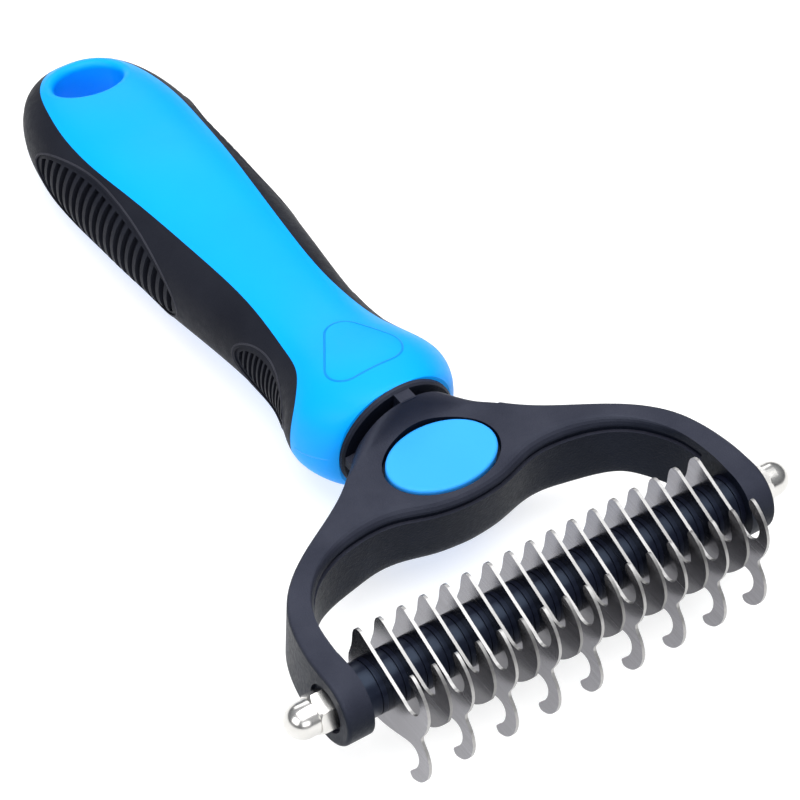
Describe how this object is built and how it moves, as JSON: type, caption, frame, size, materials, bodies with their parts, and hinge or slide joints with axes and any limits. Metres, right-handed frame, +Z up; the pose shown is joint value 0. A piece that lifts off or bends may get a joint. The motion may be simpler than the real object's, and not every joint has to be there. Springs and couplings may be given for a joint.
{
  "type": "undercoat rake",
  "caption": "Double-sided pet undercoat rake: curved steel blades clamped between spacers on an axle in a two-arm yoke, with a soft-grip handle and a hanging hole.",
  "frame": {"origin": "bottom centre of the whole tool: midway along its length and width, at the level of its lowest point", "axes": "+X along the blade axle, +Y from the blades towards the handle's butt, +Z up out of the face whose blades stand as upper fingers"},
  "size_m": [0.1068, 0.1808, 0.0298],
  "materials": {
    "blue_plastic": "bright blue moulded plastic with a soft satin skin",
    "grip_rubber": "matte black soft-touch overmould",
    "yoke_plastic": "charcoal plastic with a fine grain",
    "blade_steel": "polished stainless steel with bright rounded edges",
    "spacer_plastic": "glossy black",
    "rod_steel": "plain steel rod",
    "nut_chrome": "bright chrome"
  },
  "bodies": {
    "root": {"handle_body": "blue_plastic", "handle_grip": "grip_rubber", "yoke": "yoke_plastic", "cap_upper": "blue_plastic", "cap_lower": "blue_plastic", "blade_double_01": "blade_steel", "blade_single_02": "blade_steel", "blade_double_03": "blade_steel", "blade_single_04": "blade_steel", "blade_double_05": "blade_steel", "blade_single_06": "blade_steel", "blade_double_07": "blade_steel", "blade_single_08": "blade_steel", "blade_double_09": "blade_steel", "blade_single_10": "blade_steel", "blade_double_11": "blade_steel", "blade_single_12": "blade_steel", "blade_double_13": "blade_steel", "blade_single_14": "blade_steel", "blade_double_15": "blade_steel", "blade_single_16": "blade_steel", "blade_double_17": "blade_steel", "spacer_01": "spacer_plastic", "spacer_02": "spacer_plastic", "spacer_03": "spacer_plastic", "spacer_04": "spacer_plastic", "spacer_05": "spacer_plastic", "spacer_06": "spacer_plastic", "spacer_07": "spacer_plastic", "spacer_08": "spacer_plastic", "spacer_09": "spacer_plastic", "spacer_10": "spacer_plastic", "spacer_11": "spacer_plastic", "spacer_12": "spacer_plastic", "spacer_13": "spacer_plastic", "spacer_14": "spacer_plastic", "spacer_15": "spacer_plastic", "spacer_16": "spacer_plastic", "end_spacer_left": "spacer_plastic", "end_spacer_right": "spacer_plastic", "axle_rod": "rod_steel", "acorn_nut_left": "nut_chrome", "acorn_nut_right": "nut_chrome"}
  },
  "joints": []
}
